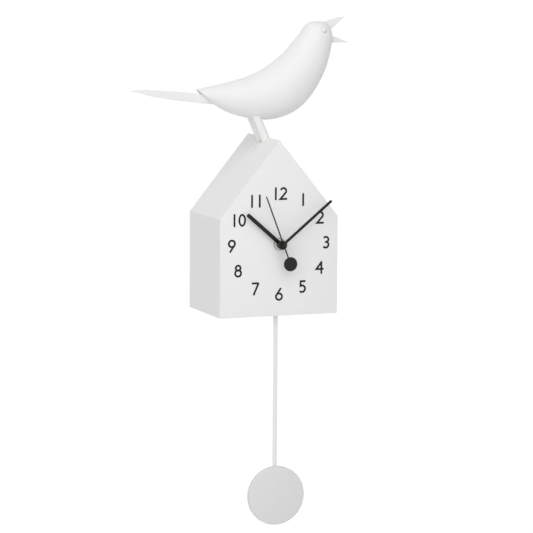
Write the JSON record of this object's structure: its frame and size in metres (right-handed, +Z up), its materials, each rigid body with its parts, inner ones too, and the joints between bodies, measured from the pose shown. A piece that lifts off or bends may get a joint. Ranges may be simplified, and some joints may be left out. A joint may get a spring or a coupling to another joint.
{
  "type": "singing bird pendulum wall clock",
  "caption": "White gabled-house wall clock: slender black hands, a pendulum below, and a bird on the ridge whose beak opens and tail dips as it sings.",
  "frame": {"origin": "centre of the hanging hole, on the outside of the back", "axes": "+Z up, +Y towards the wall, +X to the right of someone facing the dial"},
  "size_m": [0.2976, 0.1306, 0.6475],
  "materials": {
    "white_paint": "satin white paint on fibreboard",
    "white_shell": "satin white moulded plastic",
    "white_metal": "satin white paint on aluminium",
    "moulded_back": "fine-grained white moulding",
    "black_metal": "satin black paint on thin metal",
    "numeral_ink": "printed black film",
    "brass": "bright brass",
    "plated_steel": "zinc plated",
    "movement_black": "black moulded plastic",
    "gear_white": "natural moulded plastic",
    "gear_steel": "polished arbor steel",
    "magnet": "dark plated magnet",
    "copper": "enamelled copper wire",
    "motor_iron": "stamped motor iron",
    "board_green": "green circuit board",
    "raw_wood": "bare softwood",
    "eye_gloss": "glossy white bead",
    "solenoid_case": "plated iron frame",
    "speaker_black": "black stamped frame",
    "cone_paper": "pressed paper cone",
    "black_plastic": "black moulded plastic",
    "cell_jacket": "plain printed jacket"
  },
  "bodies": {
    "case": {"front_panel": "white_paint", "left_wall": "white_paint", "right_wall": "white_paint", "left_roof_panel": "white_paint", "right_roof_panel": "white_paint", "floor_panel": "white_paint", "back_panel": "moulded_back", "hanger_plate": "plated_steel", "wood_screws": "plated_steel", "corner_blocks": "raw_wood", "numerals": "numeral_ink", "movement_case": "movement_black", "movement_cover": "movement_black", "threaded_bush": "brass", "fixing_washer": "brass", "fixing_nut": "brass", "motor_coil": "copper", "motor_stator": "motor_iron", "movement_board": "board_green", "pendulum_bracket": "black_plastic", "pendulum_coil": "copper", "pendulum_pivot": "gear_steel", "right_shell": "white_shell", "left_shell": "white_shell", "eyes": "eye_gloss", "pivot_pins": "gear_steel", "bird_chassis": "black_plastic", "solenoid": "solenoid_case", "left_leg": "white_metal", "right_leg": "white_metal", "perch_block": "raw_wood", "speaker_frame": "speaker_black", "speaker_cone": "cone_paper", "sound_board": "board_green", "battery_holder": "black_plastic", "battery_cells": "cell_jacket"},
    "door": {"service_door": "moulded_back"},
    "second": {"second_hand": "black_metal", "second_wheel": "gear_white"},
    "rotor_body": {"rotor": "magnet"},
    "intermediate": {"intermediate_wheel": "gear_white"},
    "third": {"third_wheel": "gear_white"},
    "centre": {"centre_wheel": "gear_white"},
    "minute": {"minute_hand": "black_metal", "minute_arbor": "gear_steel"},
    "motion": {"minute_wheel": "gear_white"},
    "hour": {"hour_hand": "black_metal", "hour_wheel": "gear_white"},
    "setter": {"set_knob": "black_plastic"},
    "pendulum": {"pendulum_hanger": "black_plastic", "pendulum_magnet": "magnet", "pendulum_rod": "white_metal", "pendulum_bob": "white_paint", "rod_rivets": "white_metal"},
    "beak_top": {"upper_beak": "white_shell"},
    "beak_bottom": {"lower_beak": "white_shell"},
    "tail_body": {"tail": "white_shell"},
    "drive": {"drive_rod": "gear_steel"},
    "switch": {"mode_switch": "black_plastic"},
    "button": {"test_button": "black_plastic"}
  },
  "joints": [
    {"name": "door_slide", "type": "slide", "parent": "case", "child": "door", "axis": [0, 0, -1], "range_m": [0, 0.07]},
    {"name": "second_spin", "type": "hinge", "parent": "case", "child": "second", "pos_m": [0, -0.112, -0.0782], "axis": [0, 1, 0], "continuous": true},
    {"name": "rotor_spin", "type": "hinge", "parent": "case", "child": "rotor_body", "pos_m": [0.00544, -0.098, -0.06104], "axis": [0, 1, 0], "continuous": true},
    {"name": "intermediate_spin", "type": "hinge", "parent": "case", "child": "intermediate", "pos_m": [0.01034, -0.098, -0.06952], "axis": [0, 1, 0], "continuous": true},
    {"name": "third_spin", "type": "hinge", "parent": "case", "child": "third", "pos_m": [-0.0136, -0.098, -0.0782], "axis": [0, 1, 0], "continuous": true},
    {"name": "centre_spin", "type": "hinge", "parent": "case", "child": "centre", "pos_m": [0, -0.1, -0.0782], "axis": [0, 1, 0], "continuous": true},
    {"name": "minute_spin", "type": "hinge", "parent": "case", "child": "minute", "pos_m": [0, -0.112, -0.0782], "axis": [0, 1, 0], "continuous": true},
    {"name": "motion_spin", "type": "hinge", "parent": "case", "child": "motion", "pos_m": [0, -0.103, -0.0894], "axis": [0, 1, 0], "continuous": true},
    {"name": "hour_spin", "type": "hinge", "parent": "case", "child": "hour", "pos_m": [0, -0.112, -0.0782], "axis": [0, 1, 0], "continuous": true},
    {"name": "setter_spin", "type": "hinge", "parent": "case", "child": "setter", "pos_m": [0.01039, -0.095, -0.0954], "axis": [0, 1, 0], "continuous": true},
    {"name": "pendulum_swing", "type": "hinge", "parent": "case", "child": "pendulum", "pos_m": [0, -0.1, -0.12], "axis": [0, -1, 0], "range_deg": [-6, 6]},
    {"name": "drive_slide", "type": "slide", "parent": "case", "child": "drive", "axis": [0.84, 0, 0.5425], "range_m": [-0.00185, 0]},
    {"name": "beak_top_turn", "type": "hinge", "parent": "case", "child": "beak_top", "pos_m": [0.0832, -0.056, 0.1846], "axis": [0, -1, 0], "range_deg": [-26.01, 0]},
    {"name": "beak_bottom_turn", "type": "hinge", "parent": "case", "child": "beak_bottom", "pos_m": [0.0832, -0.056, 0.1846], "axis": [0, -1, 0], "range_deg": [0, 26.01]},
    {"name": "tail_turn", "type": "hinge", "parent": "case", "child": "tail_body", "pos_m": [-0.06, -0.056, 0.107], "axis": [0, -1, 0], "range_deg": [-8.46, 0]},
    {"name": "mode_slide", "type": "slide", "parent": "case", "child": "switch", "axis": [0, 0, 1], "range_m": [0, 0.004]},
    {"name": "button_press", "type": "slide", "parent": "case", "child": "button", "axis": [1, 0, 0], "range_m": [0, 0.0012], "stiffness_N_per_m": 300, "springref_m": -0.001}
  ],
  "couplings": [
    {"joint": "intermediate_spin", "follows": "second_spin", "ratio": -5},
    {"joint": "rotor_spin", "follows": "second_spin", "ratio": 30},
    {"joint": "third_spin", "follows": "second_spin", "ratio": -0.13333},
    {"joint": "centre_spin", "follows": "second_spin", "ratio": 0.016667},
    {"joint": "motion_spin", "follows": "minute_spin", "ratio": -0.33333},
    {"joint": "hour_spin", "follows": "minute_spin", "ratio": 0.083333},
    {"joint": "setter_spin", "follows": "minute_spin", "ratio": 0.77778},
    {"joint": "beak_top_turn", "follows": "drive_slide", "rad_per_m": 245.7},
    {"joint": "beak_bottom_turn", "follows": "drive_slide", "rad_per_m": -245.7},
    {"joint": "tail_turn", "follows": "drive_slide", "rad_per_m": 79.855}
  ]
}
